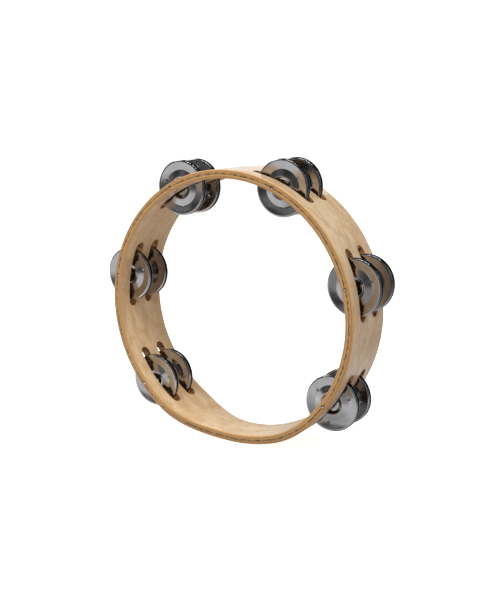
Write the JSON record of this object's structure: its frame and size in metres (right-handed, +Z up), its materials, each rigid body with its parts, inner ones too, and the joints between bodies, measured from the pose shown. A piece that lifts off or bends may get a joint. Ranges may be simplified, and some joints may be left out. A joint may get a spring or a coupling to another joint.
{
  "type": "tambourine",
  "caption": "Headless round wooden tambourine held upright: two-ply bent shell with a scooped hand grip, slotted stations, and pairs of plated steel jingles loose on steel pins.",
  "frame": {"origin": "middle of the shell's wall at the middle of the hand grip, which is the lowest stretch of the upright ring", "axes": "+Y along the ring's axis, away from the front rim where the pin ends show; +Z up through the ring's centre; +X to the right seen from the front"},
  "size_m": [0.2292, 0.05, 0.2061],
  "materials": {
    "outer_wood": "clear gloss lacquer over pale straight-grained wood",
    "inner_wood": "clear satin lacquer over pale straight-grained wood",
    "pin_steel": "cut steel wire ends",
    "jingle_steel": "bright plated pressed steel with fine scratches"
  },
  "bodies": {
    "shell": {"outer_ply": "outer_wood", "inner_ply": "inner_wood", "pin_lower_right": "pin_steel", "pin_right": "pin_steel", "pin_upper_right": "pin_steel", "pin_upper_left": "pin_steel", "pin_left": "pin_steel", "pin_lower_left": "pin_steel"},
    "jingle_lower_right_front_a": {"jingle_lower_right_front_a": "jingle_steel"},
    "jingle_lower_right_front_b": {"jingle_lower_right_front_b": "jingle_steel"},
    "jingle_lower_right_back_a": {"jingle_lower_right_back_a": "jingle_steel"},
    "jingle_lower_right_back_b": {"jingle_lower_right_back_b": "jingle_steel"},
    "jingle_right_front_a": {"jingle_right_front_a": "jingle_steel"},
    "jingle_right_front_b": {"jingle_right_front_b": "jingle_steel"},
    "jingle_right_back_a": {"jingle_right_back_a": "jingle_steel"},
    "jingle_right_back_b": {"jingle_right_back_b": "jingle_steel"},
    "jingle_upper_right_front_a": {"jingle_upper_right_front_a": "jingle_steel"},
    "jingle_upper_right_front_b": {"jingle_upper_right_front_b": "jingle_steel"},
    "jingle_upper_right_back_a": {"jingle_upper_right_back_a": "jingle_steel"},
    "jingle_upper_right_back_b": {"jingle_upper_right_back_b": "jingle_steel"},
    "jingle_upper_left_front_a": {"jingle_upper_left_front_a": "jingle_steel"},
    "jingle_upper_left_front_b": {"jingle_upper_left_front_b": "jingle_steel"},
    "jingle_upper_left_back_a": {"jingle_upper_left_back_a": "jingle_steel"},
    "jingle_upper_left_back_b": {"jingle_upper_left_back_b": "jingle_steel"},
    "jingle_left_front_a": {"jingle_left_front_a": "jingle_steel"},
    "jingle_left_front_b": {"jingle_left_front_b": "jingle_steel"},
    "jingle_left_back_a": {"jingle_left_back_a": "jingle_steel"},
    "jingle_left_back_b": {"jingle_left_back_b": "jingle_steel"},
    "jingle_lower_left_front_a": {"jingle_lower_left_front_a": "jingle_steel"},
    "jingle_lower_left_front_b": {"jingle_lower_left_front_b": "jingle_steel"},
    "jingle_lower_left_back_a": {"jingle_lower_left_back_a": "jingle_steel"},
    "jingle_lower_left_back_b": {"jingle_lower_left_back_b": "jingle_steel"}
  },
  "joints": [
    {"name": "spin_lower_right_front", "type": "hinge", "parent": "shell", "child": "jingle_lower_right_front_a", "pos_m": [0.07584, -0.0095, 0.03532], "axis": [0, 1, 0], "continuous": true},
    {"name": "clash_lower_right_front", "type": "slide", "parent": "jingle_lower_right_front_a", "child": "jingle_lower_right_front_b", "axis": [0, 1, 0], "range_m": [0, 0.0014]},
    {"name": "spin_lower_right_back", "type": "hinge", "parent": "shell", "child": "jingle_lower_right_back_a", "pos_m": [0.07584, 0.0095, 0.03532], "axis": [0, 1, 0], "continuous": true},
    {"name": "clash_lower_right_back", "type": "slide", "parent": "jingle_lower_right_back_a", "child": "jingle_lower_right_back_b", "axis": [0, 1, 0], "range_m": [0, 0.0014]},
    {"name": "spin_right_front", "type": "hinge", "parent": "shell", "child": "jingle_right_front_a", "pos_m": [0.09457, -0.0095, 0.11739], "axis": [0, 1, 0], "continuous": true},
    {"name": "clash_right_front", "type": "slide", "parent": "jingle_right_front_a", "child": "jingle_right_front_b", "axis": [0, 1, 0], "range_m": [0, 0.0014]},
    {"name": "spin_right_back", "type": "hinge", "parent": "shell", "child": "jingle_right_back_a", "pos_m": [0.09457, 0.0095, 0.11739], "axis": [0, 1, 0], "continuous": true},
    {"name": "clash_right_back", "type": "slide", "parent": "jingle_right_back_a", "child": "jingle_right_back_b", "axis": [0, 1, 0], "range_m": [0, 0.0014]},
    {"name": "spin_upper_right_front", "type": "hinge", "parent": "shell", "child": "jingle_upper_right_front_a", "pos_m": [0.04209, -0.0095, 0.18319], "axis": [0, 1, 0], "continuous": true},
    {"name": "clash_upper_right_front", "type": "slide", "parent": "jingle_upper_right_front_a", "child": "jingle_upper_right_front_b", "axis": [0, 1, 0], "range_m": [0, 0.0014]},
    {"name": "spin_upper_right_back", "type": "hinge", "parent": "shell", "child": "jingle_upper_right_back_a", "pos_m": [0.04209, 0.0095, 0.18319], "axis": [0, 1, 0], "continuous": true},
    {"name": "clash_upper_right_back", "type": "slide", "parent": "jingle_upper_right_back_a", "child": "jingle_upper_right_back_b", "axis": [0, 1, 0], "range_m": [0, 0.0014]},
    {"name": "spin_upper_left_front", "type": "hinge", "parent": "shell", "child": "jingle_upper_left_front_a", "pos_m": [-0.04209, -0.0095, 0.18319], "axis": [0, 1, 0], "continuous": true},
    {"name": "clash_upper_left_front", "type": "slide", "parent": "jingle_upper_left_front_a", "child": "jingle_upper_left_front_b", "axis": [0, 1, 0], "range_m": [0, 0.0014]},
    {"name": "spin_upper_left_back", "type": "hinge", "parent": "shell", "child": "jingle_upper_left_back_a", "pos_m": [-0.04209, 0.0095, 0.18319], "axis": [0, 1, 0], "continuous": true},
    {"name": "clash_upper_left_back", "type": "slide", "parent": "jingle_upper_left_back_a", "child": "jingle_upper_left_back_b", "axis": [0, 1, 0], "range_m": [0, 0.0014]},
    {"name": "spin_left_front", "type": "hinge", "parent": "shell", "child": "jingle_left_front_a", "pos_m": [-0.09457, -0.0095, 0.11739], "axis": [0, 1, 0], "continuous": true},
    {"name": "clash_left_front", "type": "slide", "parent": "jingle_left_front_a", "child": "jingle_left_front_b", "axis": [0, 1, 0], "range_m": [0, 0.0014]},
    {"name": "spin_left_back", "type": "hinge", "parent": "shell", "child": "jingle_left_back_a", "pos_m": [-0.09457, 0.0095, 0.11739], "axis": [0, 1, 0], "continuous": true},
    {"name": "clash_left_back", "type": "slide", "parent": "jingle_left_back_a", "child": "jingle_left_back_b", "axis": [0, 1, 0], "range_m": [0, 0.0014]},
    {"name": "spin_lower_left_front", "type": "hinge", "parent": "shell", "child": "jingle_lower_left_front_a", "pos_m": [-0.07584, -0.0095, 0.03532], "axis": [0, 1, 0], "continuous": true},
    {"name": "clash_lower_left_front", "type": "slide", "parent": "jingle_lower_left_front_a", "child": "jingle_lower_left_front_b", "axis": [0, 1, 0], "range_m": [0, 0.0014]},
    {"name": "spin_lower_left_back", "type": "hinge", "parent": "shell", "child": "jingle_lower_left_back_a", "pos_m": [-0.07584, 0.0095, 0.03532], "axis": [0, 1, 0], "continuous": true},
    {"name": "clash_lower_left_back", "type": "slide", "parent": "jingle_lower_left_back_a", "child": "jingle_lower_left_back_b", "axis": [0, 1, 0], "range_m": [0, 0.0014]}
  ]
}
